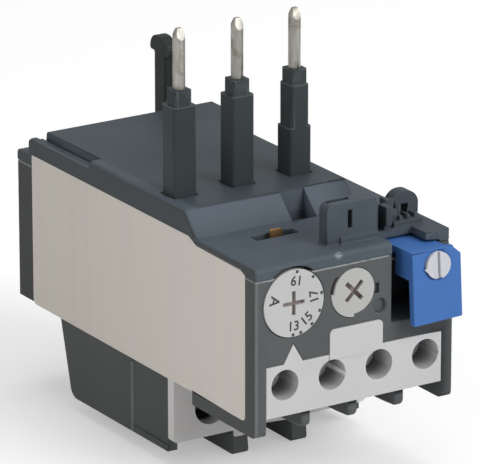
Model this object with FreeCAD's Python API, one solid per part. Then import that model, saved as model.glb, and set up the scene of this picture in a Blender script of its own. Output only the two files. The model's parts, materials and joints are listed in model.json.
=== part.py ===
import FreeCAD, Part
import math
import os

# Thermal overload relay, in millimetres.
# Every sub-part is drawn in relay coordinates: x from the left wall, y from the front face
# and z from the parting line between base and cover.  The export moves them to the part's
# own frame: centre of the overall box in x and y, standing on z = 0.

V = FreeCAD.Vector

# ---- overall sizes ------------------------------------------------------------------
WIDTH = 44.0            # across the relay
DEPTH = 87.7            # front face to mounting back
BODY_DROP = 28.2        # parting line to the underside of the body
SKIRT_DROP = 30.5       # parting line to the lower edge of the front skirts
SKIRT_LENGTH = 22.4     # how far back the front skirts reach
BAY_DROP = 43.6         # parting line to the underside of the main terminal bay
FIN_DROP = 2.8          # how far the separator fins stand below the bay
SIDE_WALL = 2.3
WALL = 2.0
FRONT_WALL = 3.2
CORNER_R = 2.0

# ---- fits ---------------------------------------------------------------------------
RUNNING = 0.05          # radial clearance of a shaft in its bearing
SEAT = 0.05             # gap between pieces that are clipped or pressed together
FREE = 0.3              # gap between pieces that only pass each other

# ---- cover --------------------------------------------------------------------------
DECK_H = 2.4            # level of the front deck and of the low ledges
PLATE_H = 7.1           # level of the raised plate
PLATE_FRONT = 25.0      # where the slope reaches the plate
PLATE_INSET = 6.7       # from the mounting back to the end of the plate
PLATE_RIGHT = 36.0      # right edge of the raised plate along the poles
PLATE_NOSE_R = 1.5
PLATE_END_R = 0.8
SHOULDER_INSET = 3.3    # from the right wall to the plate's wider rear end
SHOULDER_L = 13.0
RIDGE_H = 6.2           # rounded rail on the left, behind the grip
RIDGE_W = 2.0
RIDGE_L = 21.0
GROOVE_W = 0.9
GROOVE_FLOOR = 4.6
POCKET_LEFT = 21.0
POCKET_W = 4.8
POCKET_FRONT = 19.2
POCKET_L = 7.0
POCKET_SINK = 0.8       # pocket floor below the deck
COVER_WALL = 1.8
DECK_WALL = 1.6
FILLET = 1.0
CUTOUT_BACK = 6.2       # recess in the deck over the reset button
TAB_FRONT = 3.0         # stop over the button that reaches forward from the deck
TAB_INSET = 1.0         # from the selector's axis to the stop's left edge

# ---- catches on the deck ------------------------------------------------------------
CATCH_LEFT = 18.6
CATCH_W = 11.0
CATCH_FRONT = 4.4
CATCH_L = 2.8
CATCH_H = 8.0           # above the deck
CATCH_WALL = 0.9
CATCH_WELL_W = 5.1      # open well in its top
CATCH_WELL_H = 3.0
SLIT_W = 0.9
SLIT_H = 3.6
SLIT_RISE = 2.7         # deck to the foot of the slit
CATCH_LIP = 0.6
EAR_INSET = 1.6         # from the right wall to the round-topped ear
EAR_W = 6.2
EAR_FRONT = 9.4
EAR_L = 2.6
EAR_H = 6.6
EAR_R = 2.9
WINDOW_W = 1.8
WINDOW_H = 2.8
SILL_L = 2.6
SILL_H = 1.0
TOOTH_W = 0.8
TOOTH_PITCH = 1.7
BRIDGE_W = 1.6
BRIDGE_H = 6.2

# ---- main terminals -----------------------------------------------------------------
BAY_FRONT = 31.4
BAY_WALL = 1.4          # foot of the bay's slanted back
BAY_SLANT = 4.5         # how far that back leans out up to the body
BAY_FOOT_R = 2.6
BAY_PLATE = 1.8         # underside of the bay
TERMINAL_EDGE = 8.6     # side wall to the first and last screw axis
TERMINAL_DROP = 35.1    # parting line to the screw axis
TERMINAL_W = 10.2       # clear width of one terminal between the fins
SCREW_HOLE_R = 3.75
FIN_INSET = 5.4         # from the foot of the bay's back to the end of the fins
PARTITION = 46.6        # front of the wall behind the clamps
PARTITION_W = 1.6
BAR_PLAY = 0.9          # side clearance of the clamped bar
BAR_T = 0.8
BAR_GAP = 0.15
CLAMP_GAP = 4.4         # room for the wire between pressure plate and bar
CLAMP_RISE = 4.6        # screw axis to the top of plate and bar
CLAMP_FALL = 4.4
MAIN_SCREW_R = 1.9
MAIN_HEAD_R = 3.2
MAIN_HEAD_T = 2.4
MAIN_PLATE_T = 1.0
CROSS_W = 0.24          # half width and half length of a cross recess, in head radii
CROSS_L = 0.75
SHROUD_T = 1.45
SHROUD_DROP = 41.2
SHROUD_NUB = 1.4        # how far it covers the fins' fronts below its lower edge
SHROUD_R = 0.8
SHROUD_INSET = 0.1
COLLAR_WALL = 1.0
COLLAR_GAP = 0.85       # collar to screw head
BAY_STEP = 0.25         # shallow step in the left bay wall
BAY_STEP_L = 13.1
BAY_STEP_RISE = 1.4

# ---- line pins ----------------------------------------------------------------------
PIN_PITCH = 12.9
PIN_X = 17.45           # middle pole
PIN_Y = 34.05
PIN_R = 1.2
PIN_SHANK_R = 0.95      # slimmer part inside the sleeve
PIN_TOP = 39.7
PIN_NOSE = 2.2          # length of the wedge-shaped tip
PIN_NOSE_T = 0.7
SLEEVE_W = 4.6          # across, x
SLEEVE_L = 4.3          # front to back, y
SLEEVE_R = 0.7
SLEEVE_TAPER = 0.4      # how much the hidden part is slimmer on each side
SLEEVE_PLAY = 0.35      # clearance in the cover
SLEEVE_TOP = 24.8
FLANGE_L = 0.9          # ledge that holds the sleeve under the cover
FLANGE_H = 1.5
COLLAR_W = 3.1
COLLAR_L = 3.3
COLLAR_R = 0.5
COLLAR_TOP = 27.8
STEP_TOP = 16.4         # shoulder of the stepped sleeve on the right-hand pole
STEP_W = 3.4
STEP_R = 0.6
BUSBAR_TOP = -9.0
BUSBAR_T = 1.0
BUSBAR_W = 4.0
BUSBAR_FRONT = 2.2      # ahead of the pins' axis
BUSBAR_BEND = 3.5       # behind the pins' axis, where it starts to step sideways
BUSBAR_JOG = 5.0
PEDESTAL_L = 5.0

# ---- hook ---------------------------------------------------------------------------
HOOK_X = 30.8
HOOK_W = 4.0
HOOK_STEM = 3.3         # front to back
HOOK_TOP = 21.6
HOOK_NECK = 18.0        # underside of the nose behind the stem
HOOK_NECK_FRONT = 16.6
HOOK_LIP = 1.7          # how far the head reaches behind the stem
HOOK_NOSE = 1.0         # and ahead of it
HOOK_R = 2.6
HOOK_LIP_R = 0.6
HOOK_NECK_R = 0.5

# ---- auxiliary terminals ------------------------------------------------------------
AUX_EDGE_LEFT = 6.45    # left wall to the first screw axis
AUX_EDGE_RIGHT = 6.05   # last screw axis to the right wall
AUX_DROP = 21.3
AUX_HOLE_R = 3.0
AUX_TOP = 17.2
AUX_BOTTOM = 27.5
AUX_DEPTH = 14.0
AUX_WALL = 1.6
AUX_POCKET_W = 5.6
AUX_POCKET_FRONT = 5.5
AUX_POCKET_BACK = 11.0
AUX_PLAY = 0.2          # clearance of plates and bars in the pockets
AUX_SCREW_R = 1.3
AUX_HEAD_R = 2.5
AUX_HEAD_T = 1.8
AUX_PLATE_T = 0.8
AUX_PLATE_RISE = 2.6    # screw axis to the top of plate and bar
AUX_PLATE_FALL = 2.8
AUX_SCREW_END = 0.8     # tip of the screw ahead of the block's back
PAD_LEFT = 16.3
PAD_RIGHT = 28.1
PAD_TOP = 12.3
POINTER_TOP = 13.6
POINTER_W = 4.2
PAD_R = 1.0
PAD_PROUD = 0.25
MARK_T = 1.3
MARK_PLAY = 0.08        # gap round pointer and pad
AUX_FIN_W = 2.3
AUX_FIN_FRONT = 0.8
AUX_FIN_R = 1.2
AUX_FIN_GAP = 0.15      # below the block

# ---- dial, test disc, reset ---------------------------------------------------------
DIAL_X = 8.3
DIAL_DROP = 5.5
DIAL_R = 6.6
DIAL_T = 1.6
DIAL_SHAFT_R = 2.5
TEST_X = 21.7
TEST_DROP = 5.6
TEST_R = 4.5
TEST_FLAG_R = 5.1
TEST_T = 1.4
TEST_SHAFT_R = 1.8
DISC_PROUD = 0.2
DISC_PLAY = 0.15        # radial gap round dial and test disc
DISC_SEAT = 0.1         # gap behind them
DISC_RELIEF = 0.6       # notch beside the test disc
DIAL_RELIEF = 0.6       # wider gap above the dial in the cover
DIAL_SLOT = 2.6         # half length of the screwdriver slots
TEST_SLOT = 2.5
DRIVE_SLOT = 0.85       # width of the screwdriver slots
DRIVE_DEPTH = 0.6
STUD_DX = 5.9           # small round boss to the right of the test disc
STUD_DZ = 4.0
STUD_R = 1.5
NOTCH_DEPTH = 0.8
CAM_THROW = 0.9         # eccentricity of the dial's cam
CAM_WALL = 0.95
CAM_T = 1.3
FINGER_REACH = 4.4      # test shaft to the end of its finger
FINGER_W = 1.6
FINGER_T = 1.2
FINGER_GAP = 0.2        # behind the mechanism frame
FRAME_FRONT = 12.0      # mechanism frame plate
FRAME_T = 1.4
SHELF_DROP = 15.0       # floor of the mechanism compartment
RESET_LEFT = 30.2
RESET_DROP = 13.5
RESET_DEPTH = 12.5
RESET_WALL = 1.5
BUTTON_PROUD = 3.6      # lower front edge of the button ahead of the front face
BUTTON_LEAN = 1.0       # how far its upper front edge lies behind the lower one
BUTTON_LEFT = 32.0
BUTTON_TOP = 0.35
BUTTON_BOTTOM = 13.7
BUTTON_T = 1.6
BUTTON_R = 0.4
BUTTON_GAP = 0.4        # right of the arm
BUTTON_ARM_DROP = 5.4
BUTTON_ARM_BACK = 8.6
CUTBACK = 1.2           # side wall behind the button
STEM_DROP = 2.8
STEM_R = 1.25
STEM_TAIL = 2.0         # behind the bearing wall
SPRING_R = 2.0
SPRING_WIRE = 0.5
SPRING_TURNS = 4
SELECTOR_OFF = 0.6      # right of the button's middle
SELECTOR_DROP = 2.75
SELECTOR_R = 2.65
SELECTOR_PROUD = 0.55
SELECTOR_SHAFT_R = 1.2
SELECTOR_SHAFT_L = 3.8
SELECTOR_SLOT = 0.6
LIP_REACH = 0.5         # pointer lip beyond the disc
LIP_W = 3.0
DISH_R = 3.0
DISH_DEPTH = 0.4

# ---- thermal mechanism --------------------------------------------------------------
STRIP_BACK = 9.4        # partition to the middle of the bimetal strips
STRIP_ROOM = 10.0       # and from there to the bay's back
STRIP_W = 5.0
STRIP_T = 1.0
STRIP_TOP = -2.6
HEATER_TOP = -12.0
HEATER_TURNS = 6
HEATER_PITCH = 3.2
HEATER_BAND = 1.6
HEATER_GAP = 0.9
HEATER_T = 0.8
HEATER_LEAD = 2.0       # width of its leads
LEAD_LAP = 2.5          # lead under the busbar
LEAD_GAP = 1.6          # busbar to the winding
SLIDER_TRAVEL = 2.0
SLIDER_W = 7.0
SLIDER_TOP = -2.0
SLIDER_BOTTOM = -5.5
SLIDER_ROOM_LEFT = 2.3  # slider to the side walls
SLIDER_ROOM_RIGHT = 1.3
BRACKET_W = 3.0
BRACKET_H = 2.4
GLIDE = 0.1             # gap under a sliding piece
ARM_W = 3.0
ARM_T = 2.0
ARM_RISE = 0.3
TRIP_Y = 16.0
TRIP_X = 14.65
TRIP_W = 2.5
TRIP_T = 0.8
TRIP_PIVOT_DROP = 12.0
TRIP_FOOT = 2.2         # strip below its pivot
TRIP_FOOT_R = 0.8
TRIP_TIP_R = 0.3
TRIP_TOP = 3.0
TRIP_STUD_R = 0.8
STUD_COLLAR = 0.7
SLOT_LEFT = 9.4
SLOT_RIGHT = 19.0
SLOT_W = 2.3

# ---- contacts -----------------------------------------------------------------------
CONTACT_TRAVEL = 1.2
CONTACT_T = 0.8
TAIL_W = 2.4
TAIL_DROP = 23.8        # top of the tails of the auxiliary bars
NC_TIP = 18.2           # front of the tips that rest closed
NO_TIP = 21.2           # front of the tips that rest open
TIP_DROP = 20.0
TIP_LAP = 2.0           # height of the bridges behind the tips
BRIDGE_T = 0.6
BRIDGE_END = 1.2        # bridge beyond the outer bar's middle
BRIDGE_FALL = 0.5       # tips' top to the bridges' top
CARRIER_W = 5.7
CARRIER_TOP = -18.0
CARRIER_LIP = 0.4       # carrier ahead of the closed tips
CARRIER_TAIL = 2.8      # and behind the open ones
CARRIER_SKIRT = 1.6
RAIL_TOP = -23.9
RAIL_W = 3.8
RAIL_PLAY = 0.2
RAIL_END = 4.0          # rail ends ahead of the pins' axis

# ---- label --------------------------------------------------------------------------
LABEL_T = 0.6
LABEL_FRONT = 3.7
LABEL_INSET = 5.6       # from the mounting back
LABEL_RISE = 0.2        # above the body's underside
LABEL_GAP = 0.1
LABEL_R = 0.5

# ---- values that follow from the ones above -----------------------------------------
RIGHT_WALL = WIDTH - SIDE_WALL
BACK_WALL = DEPTH - WALL
FLOOR = -(BODY_DROP - WALL)
BAY_FLOOR = -(BAY_DROP - BAY_PLATE)
PLATE_BACK = DEPTH - PLATE_INSET
SHOULDER_FRONT = PLATE_BACK - SHOULDER_L
RIDGE_FRONT = PLATE_BACK - RIDGE_L
LABEL_BACK = DEPTH - LABEL_INSET
SHOULDER_RIGHT = WIDTH - SHOULDER_INSET
HOOK_BACK = DEPTH - HOOK_LIP
HOOK_FRONT = HOOK_BACK - HOOK_STEM
CATCH_RIGHT = CATCH_LEFT + CATCH_W
EAR_RIGHT = WIDTH - EAR_INSET
EAR_LEFT = EAR_RIGHT - EAR_W
TERMINAL_PITCH = WIDTH / 2 - TERMINAL_EDGE
TERMINAL_X = [TERMINAL_EDGE + i * TERMINAL_PITCH for i in range(3)]
FIN_W = TERMINAL_PITCH - TERMINAL_W
FIN_X = [(left + right) / 2 for left, right in zip(TERMINAL_X, TERMINAL_X[1:])]
BAR_W = TERMINAL_W - 2 * BAR_PLAY
BAR_Y = PARTITION - SEAT - BAR_GAP - BAR_T
WASHER_BACK = BAR_Y - CLAMP_GAP
HEAD_FRONT = WASHER_BACK - MAIN_PLATE_T - MAIN_HEAD_T
STRIP_Y = PARTITION + STRIP_BACK
BAY_CAVITY_BACK = STRIP_Y + STRIP_ROOM
BAY_FOOT_BACK = BAY_CAVITY_BACK + BAY_WALL
BAY_TOP_BACK = BAY_FOOT_BACK + BAY_SLANT
FIN_BACK = BAY_FOOT_BACK - FIN_INSET
HEATER_X = STRIP_T / 2 + HEATER_GAP + HEATER_T
HEATER_Y = STRIP_W / 2 + HEATER_GAP + HEATER_T
BUSBAR_BACK = STRIP_Y - HEATER_Y - LEAD_GAP
SLIDER_LEFT = SIDE_WALL + SLIDER_ROOM_LEFT
SLIDER_RIGHT = RIGHT_WALL - SLIDER_ROOM_RIGHT
PINS_X = [PIN_X + (i - 1) * PIN_PITCH for i in range(3)]
ARM_X = PIN_X + (PIN_PITCH - ARM_W) / 2
AUX_PITCH = (WIDTH - AUX_EDGE_LEFT - AUX_EDGE_RIGHT) / 3
AUX_X = [AUX_EDGE_LEFT + i * AUX_PITCH for i in range(4)]
AUX_PLATE_FRONT = AUX_POCKET_FRONT + FREE + AUX_HEAD_T
RAIL_X = (AUX_X[1] + AUX_X[2]) / 2
CARRIER_LEFT = RAIL_X - CARRIER_W / 2
CARRIER_RIGHT = RAIL_X + CARRIER_W / 2
SELECTOR_X = (BUTTON_LEFT + WIDTH) / 2 + SELECTOR_OFF
ARM_RIGHT = RIGHT_WALL - BUTTON_GAP
STEM_X = (BUTTON_LEFT + ARM_RIGHT) / 2
LEAN = math.atan2(BUTTON_LEAN, BUTTON_TOP + BUTTON_BOTTOM)
SLOT_FRONT = TRIP_Y - SLOT_W / 2
FRAME_BACK = FRAME_FRONT + FRAME_T
OFFSET = V(-WIDTH / 2, -(DEPTH - BUTTON_PROUD) / 2, BAY_DROP + FIN_DROP)


# ---- drawing helpers ----------------------------------------------------------------
def box(x0, x1, y0, y1, z0, z1):
    return Part.makeBox(x1 - x0, y1 - y0, z1 - z0, V(x0, y0, z0))


def rod(axis, centre, low, high, radius):
    """Cylinder along 'x', 'y' or 'z'; centre holds the other two coordinates in order."""
    a, b = centre
    starts = {"x": V(low, a, b), "y": V(a, low, b), "z": V(a, b, low)}
    ways = {"x": V(1, 0, 0), "y": V(0, 1, 0), "z": V(0, 0, 1)}
    return Part.makeCylinder(radius, high - low, starts[axis], ways[axis])


def corner_arc(before, corner, after, radius):
    """Start, middle and end of the arc that rounds one corner of an outline."""
    to_before = (before - corner).normalize()
    to_after = (after - corner).normalize()
    half = to_before.getAngle(to_after) / 2
    reach = radius / math.tan(half)
    inward = (to_before + to_after).normalize()
    middle = corner + inward * (radius / math.sin(half) - radius)
    return corner + to_before * reach, middle, corner + to_after * reach


def prism(plane, corners, low, high):
    """Solid over an outline in 'xy', 'xz' or 'yz'; a corner is (a, b) or (a, b, radius)."""
    place = {"xy": lambda a, b: V(a, b, low), "xz": lambda a, b: V(a, low, b),
             "yz": lambda a, b: V(low, a, b)}[plane]
    way = {"xy": V(0, 0, 1), "xz": V(0, 1, 0), "yz": V(1, 0, 0)}[plane] * (high - low)
    spots = [place(c[0], c[1]) for c in corners]
    stops = []
    for i, corner in enumerate(corners):
        if len(corner) == 3:
            before, after = spots[i - 1], spots[(i + 1) % len(spots)]
            stops.append(corner_arc(before, spots[i], after, corner[2]))
        else:
            stops.append((spots[i], None, spots[i]))
    edges = []
    for i, (start, middle, end) in enumerate(stops):
        if middle is not None:
            edges.append(Part.Arc(start, middle, end).toShape())
        following = stops[(i + 1) % len(stops)][0]
        if end.distanceToPoint(following) > 1e-6:
            edges.append(Part.LineSegment(end, following).toShape())
    return Part.Face(Part.Wire(edges)).extrude(way)


def fused(shapes):
    shapes = list(shapes)
    return shapes[0].multiFuse(shapes[1:]).removeSplitter()


def centred(x, half, *rest):
    return box(x - half, x + half, *rest)


def label_outline(grow):
    """Side label seen from the left; grow widens it into its recess."""
    low = -BODY_DROP + LABEL_RISE - grow
    front, back = LABEL_FRONT - grow, LABEL_BACK + grow
    slant = PLATE_FRONT - (PLATE_H - DECK_H)
    return [(front, low, LABEL_R), (back, low, LABEL_R), (back, DECK_H, LABEL_R),
            (slant + 3.2 - grow, DECK_H, LABEL_R), (slant + 0.5 - grow, DECK_H - 1.2 + grow),
            (front + 1.7 + grow, DECK_H - 1.4 + grow), (front, DECK_H - 2.1 + grow)]


# ---- housing ------------------------------------------------------------------------
def housing_blank():
    blank = prism("yz", [
        (0, 0), (0, -SKIRT_DROP, CORNER_R), (SKIRT_LENGTH, -SKIRT_DROP), (SKIRT_LENGTH, -BODY_DROP),
        (BAY_FRONT, -BODY_DROP), (BAY_FRONT, -BAY_DROP), (BAY_FOOT_BACK, -BAY_DROP, BAY_FOOT_R),
        (BAY_TOP_BACK, -BODY_DROP), (DEPTH, -BODY_DROP), (DEPTH, 0)], 0, WIDTH)
    foot = -(BAY_DROP + FIN_DROP)
    fins = [prism("yz", [(BAY_FRONT, -BODY_DROP), (BAY_FRONT, foot, FILLET), (FIN_BACK, foot, FILLET),
                         (FIN_BACK, -BODY_DROP)], x - FIN_W / 2, x + FIN_W / 2) for x in FIN_X]
    return fused([blank] + fins)


def housing_cavities():
    """Everything taken out of the base: compartments and bays, each with open ends."""
    inner = (SIDE_WALL, RIGHT_WALL)
    wall_back = PARTITION + PARTITION_W
    cuts = [
        box(*inner, -1, (SKIRT_LENGTH + BAY_FRONT) / 2, -SKIRT_DROP - 1, -BODY_DROP),
        box(*inner, -1, AUX_DEPTH, -BODY_DROP - 1, -AUX_TOP),
        box(*inner, FRONT_WALL, BACK_WALL, -SHELF_DROP, 1),
        box(*inner, AUX_DEPTH + AUX_WALL, BACK_WALL, FLOOR, 1),
        box(*inner, wall_back, BAY_CAVITY_BACK, BAY_FLOOR, FLOOR + 1),
    ]
    edges = [SIDE_WALL] + [x + side * FIN_W / 2 for x in FIN_X for side in (-1, 1)] + [RIGHT_WALL]
    for left, right in zip(edges[0::2], edges[1::2]):
        cuts.append(box(left, right, BAY_FRONT - 1, PARTITION, -BAY_DROP - 1, -BODY_DROP))
    for x in TERMINAL_X:
        cuts.append(centred(x, BAR_W / 2 - 1, PARTITION - 1, wall_back + 1, BAY_FLOOR,
                            BAY_FLOOR + BAR_T + FREE))
        cuts.append(rod("y", (x, -TERMINAL_DROP), PARTITION - 1, wall_back + 1, MAIN_SCREW_R + FREE))
    for x in AUX_X:
        cuts.append(centred(x, TAIL_W / 2 + AUX_PLAY, AUX_DEPTH - 1, AUX_DEPTH + AUX_WALL + 1,
                            -TAIL_DROP - CONTACT_T - AUX_PLAY, -TIP_DROP + AUX_PLAY))
    return cuts


def housing_ribs():
    """Walls that stand inside the compartments: reset pocket, pedestals, rail, brackets."""
    ribs = [box(RESET_LEFT - RESET_WALL, RIGHT_WALL, FRONT_WALL - 1, RESET_DEPTH + RESET_WALL,
                -SHELF_DROP, 0)]
    for x in PINS_X:
        ribs.append(centred(x, BUSBAR_W / 2 + SLEEVE_PLAY, PIN_Y - PEDESTAL_L / 2, PIN_Y + PEDESTAL_L / 2,
                            FLOOR, BUSBAR_TOP - BUSBAR_T))
    ribs.append(centred(RAIL_X, RAIL_W / 2, AUX_DEPTH + AUX_WALL, PIN_Y - RAIL_END, FLOOR, RAIL_TOP))
    top = SLIDER_BOTTOM - GLIDE
    for left, right in ((SIDE_WALL, SIDE_WALL + BRACKET_W), (RIGHT_WALL - BRACKET_W, RIGHT_WALL)):
        ribs.append(box(left, right, STRIP_Y - SLIDER_W / 2, STRIP_Y + SLIDER_W / 2, top - BRACKET_H, top))
    return ribs


def aux_fins():
    top = -AUX_BOTTOM - AUX_FIN_GAP
    return [prism("yz", [(AUX_FIN_FRONT, top), (AUX_FIN_FRONT, -SKIRT_DROP, AUX_FIN_R),
                         (SKIRT_LENGTH, -SKIRT_DROP), (SKIRT_LENGTH, top)],
                  (left + right - AUX_FIN_W) / 2, (left + right + AUX_FIN_W) / 2)
            for left, right in zip(AUX_X, AUX_X[1:])]


def front_seats():
    """Recesses and bearings in the front wall for dial, test disc, marks and button."""
    return [
        rod("y", (DIAL_X, -DIAL_DROP), -1, DIAL_T, DIAL_R + DISC_PLAY),
        rod("y", (DIAL_X, -DIAL_DROP), -1, FRONT_WALL + 1, DIAL_SHAFT_R + RUNNING),
        rod("y", (TEST_X, -TEST_DROP), -1, TEST_T, TEST_FLAG_R + DISC_PLAY),
        rod("y", (TEST_X, -TEST_DROP), -1, FRONT_WALL + 1, TEST_SHAFT_R + RUNNING),
        rod("y", (TEST_X + STUD_DX, -TEST_DROP - STUD_DZ), -1, NOTCH_DEPTH, STUD_R),
        box(TEST_X + TEST_R, TEST_X + TEST_FLAG_R + DISC_RELIEF, -1, NOTCH_DEPTH,
            -TEST_DROP - STUD_R, -TEST_DROP + DISC_RELIEF),
        box(RESET_LEFT, RIGHT_WALL, -1, RESET_DEPTH, -RESET_DROP, 1),
        box(RIGHT_WALL - 1, WIDTH + 1, -1, CUTBACK, -BUTTON_BOTTOM - FREE, 1),
        rod("y", (STEM_X, -STEM_DROP), RESET_DEPTH - 1, RESET_DEPTH + RESET_WALL + 1, STEM_R + RUNNING),
        prism("xz", pointer_outline(MARK_PLAY), -1, MARK_T + SEAT),
        prism("xz", pad_outline(MARK_PLAY), -1, MARK_T + SEAT),
    ]


def base_housing():
    shell = housing_blank().cut(housing_cavities())
    shell = fused([shell] + housing_ribs() + aux_fins())
    side = [
        prism("yz", label_outline(LABEL_GAP), -1, LABEL_T),
        box(-1, LABEL_T, SKIRT_LENGTH + LABEL_GAP, LABEL_BACK + LABEL_GAP, -BODY_DROP - 1,
            -BODY_DROP + LABEL_RISE + 1),
        box(-1, BAY_STEP, BAY_FRONT - 1, BAY_FRONT + BAY_STEP_L, -BAY_DROP + BAY_STEP_RISE, -BODY_DROP),
    ]
    return shell.cut(front_seats() + side).removeSplitter()


def pointer_outline(grow):
    half = POINTER_W / 2 + grow
    return [(DIAL_X - half, -AUX_TOP - 1), (DIAL_X + half, -AUX_TOP - 1), (DIAL_X + half, -AUX_TOP),
            (DIAL_X, -POINTER_TOP + 2 * grow), (DIAL_X - half, -AUX_TOP)]


def pad_outline(grow):
    return [(PAD_LEFT - grow, -AUX_TOP - 1), (PAD_RIGHT + grow, -AUX_TOP - 1),
            (PAD_RIGHT + grow, -PAD_TOP + grow, PAD_R), (PAD_LEFT - grow, -PAD_TOP + grow, PAD_R)]


# ---- cover --------------------------------------------------------------------------
def cover_blank():
    low = DECK_H - 1
    slope_foot = PLATE_FRONT - (PLATE_H - DECK_H)
    deck = prism("yz", [(0, 0), (0, DECK_H, FILLET), (DEPTH, DECK_H, FILLET), (DEPTH, 0)], 0, WIDTH)
    end = [(PLATE_BACK, PLATE_H, PLATE_END_R), (PLATE_BACK + PLATE_END_R, low)]
    plate = prism("yz", [(slope_foot, low), (slope_foot, DECK_H), (PLATE_FRONT, PLATE_H, PLATE_NOSE_R)] + end,
                  0, PLATE_RIGHT)
    shoulder = prism("yz", [(SHOULDER_FRONT, low), (SHOULDER_FRONT, PLATE_H)] + end,
                     PLATE_RIGHT - 1, SHOULDER_RIGHT)
    return fused([deck, plate, shoulder])


def near(value, target):
    return abs(value - target) < 1e-4


def round_plate_edge(cover):
    """Soften the raised plate where it runs out to the left side of the relay."""
    edges = [e for e in cover.Edges
             if near(e.BoundBox.XMax, 0) and near(e.BoundBox.ZMin, PLATE_H)
             and e.BoundBox.YLength > RIDGE_L]
    return cover.makeFillet(FILLET, edges)


def front_catch():
    """Two-walled catch on the deck, with a slit in its face and an open well in its top."""
    low, top = DECK_H - 1, DECK_H + CATCH_H
    back = CATCH_FRONT + CATCH_L
    well_right = CATCH_LEFT + CATCH_WALL + CATCH_WELL_W
    slit = DECK_H + SLIT_RISE
    body = prism("xz", [(CATCH_LEFT, low), (CATCH_RIGHT, low), (CATCH_RIGHT, top, CATCH_LIP),
                        (CATCH_LEFT, top, 1.5)], CATCH_FRONT, back)
    cuts = [box(CATCH_LEFT + CATCH_WALL, well_right, CATCH_FRONT + CATCH_WALL, back - CATCH_LIP,
                top - CATCH_WELL_H, top + 1),
            box(well_right - 1.5 * SLIT_W, well_right - SLIT_W / 2, CATCH_FRONT - 1, CATCH_FRONT + CATCH_WALL + 1,
                slit, slit + SLIT_H)]
    front = CATCH_FRONT - CATCH_LIP
    ledge = prism("yz", [(front, low), (front, DECK_H + 1.2, 0.3), (CATCH_FRONT + 0.5, DECK_H + 1.6),
                         (CATCH_FRONT + 0.5, low)], CATCH_LEFT + CATCH_L, CATCH_RIGHT)
    return fused([body.cut(cuts), ledge])


def catch_bridge():
    """Low web and posts that join the front catch to the ear."""
    low = DECK_H - 1
    front, back = CATCH_FRONT + CATCH_L - 1, EAR_FRONT
    return fused([
        box(CATCH_RIGHT - CATCH_LIP, CATCH_RIGHT + BRIDGE_W, front, back, low, DECK_H + BRIDGE_H),
        box(CATCH_RIGHT + BRIDGE_W - CATCH_LIP, EAR_LEFT + CATCH_LIP, back - 1.2, back, low, DECK_H + BRIDGE_H / 2),
        box(EAR_LEFT - 3.6, EAR_LEFT - 2.2, front - 0.6, back - 1, low, DECK_H + 4.8),
        box(EAR_LEFT - 1.4, EAR_LEFT + CATCH_LIP, back - 0.2, back + 2, low, DECK_H + 5)])


def ear():
    """Round-topped ear with a window, standing on a toothed sill."""
    low, top = DECK_H - 1, DECK_H + EAR_H
    back = EAR_FRONT + EAR_L
    lobe = prism("xz", [(EAR_LEFT, low), (EAR_RIGHT, low), (EAR_RIGHT, top, EAR_R), (EAR_LEFT, top, EAR_R)],
                 EAR_FRONT, back)
    window = EAR_LEFT + 2
    lobe = lobe.cut(box(window, window + WINDOW_W, EAR_FRONT - 1, back + 1, DECK_H + 1.2,
                        DECK_H + 1.2 + WINDOW_H))
    pieces = [lobe, box(EAR_LEFT - 1, EAR_RIGHT - 0.6, EAR_FRONT - SILL_L, EAR_FRONT + 0.2, low,
                        DECK_H + SILL_H)]
    for i in range(3):
        left = EAR_LEFT + 0.6 + i * TOOTH_PITCH
        pieces.append(box(left, left + TOOTH_W, EAR_FRONT - SILL_L + 0.6, EAR_FRONT + 0.2, DECK_H,
                          DECK_H + SILL_H + 0.9))
    return fused(pieces)


def cover_cuts():
    """Hollow underside, rail, pocket, tool slot and the clearances round the front controls."""
    ceiling = DECK_H - DECK_WALL
    under = PLATE_H - DECK_WALL
    inside = PLATE_RIGHT - COVER_WALL
    end = PLATE_BACK + 2
    cuts = [
        box(COVER_WALL, WIDTH - COVER_WALL, FRONT_WALL, DEPTH - COVER_WALL, -1, ceiling),
        box(COVER_WALL, inside, PLATE_FRONT + WALL, RIDGE_FRONT - 2 * WALL + 1, 0, under),
        box(RIDGE_W + GROOVE_W + COVER_WALL, inside, RIDGE_FRONT - 2 * WALL, PLATE_BACK - COVER_WALL, 0, under),
        box(RIDGE_W, RIDGE_W + GROOVE_W, RIDGE_FRONT, end, GROOVE_FLOOR, PLATE_H + 1),
        box(-1, RIDGE_W + 0.01, RIDGE_FRONT, end, RIDGE_H, PLATE_H + 1),
        box(POCKET_LEFT, POCKET_LEFT + POCKET_W, POCKET_FRONT, POCKET_FRONT + POCKET_L,
            DECK_H - POCKET_SINK, PLATE_H + 1),
        box(SLOT_LEFT, SLOT_RIGHT, SLOT_FRONT, SLOT_FRONT + SLOT_W, 0, PLATE_H),
        rod("y", (DIAL_X, -DIAL_DROP), -1, DIAL_T, DIAL_R + DIAL_RELIEF),
        box(RESET_LEFT, RIGHT_WALL + RUNNING, -1, CUTOUT_BACK, -1, DECK_H + 1),
        box(RIGHT_WALL, WIDTH + 1, -1, CUTBACK, -1, DECK_H + 1),
        prism("yz", label_outline(LABEL_GAP), -1, LABEL_T),
    ]
    for x in PINS_X:
        cuts.append(centred(x, SLEEVE_W / 2 + SLEEVE_PLAY, PIN_Y - SLEEVE_L / 2 - SLEEVE_PLAY,
                            PIN_Y + SLEEVE_L / 2 + SLEEVE_PLAY, 0, PLATE_H + 1))
    return cuts


def top_cover():
    cover = round_plate_edge(cover_blank())
    cover = fused([cover, front_catch(), catch_bridge(), ear()]).cut(cover_cuts())
    stop = box(SELECTOR_X - TAB_INSET, RIGHT_WALL + 0.3, TAB_FRONT, CUTOUT_BACK + 0.2,
               DECK_H - DECK_WALL, DECK_H)
    return fused([cover, stop])


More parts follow.
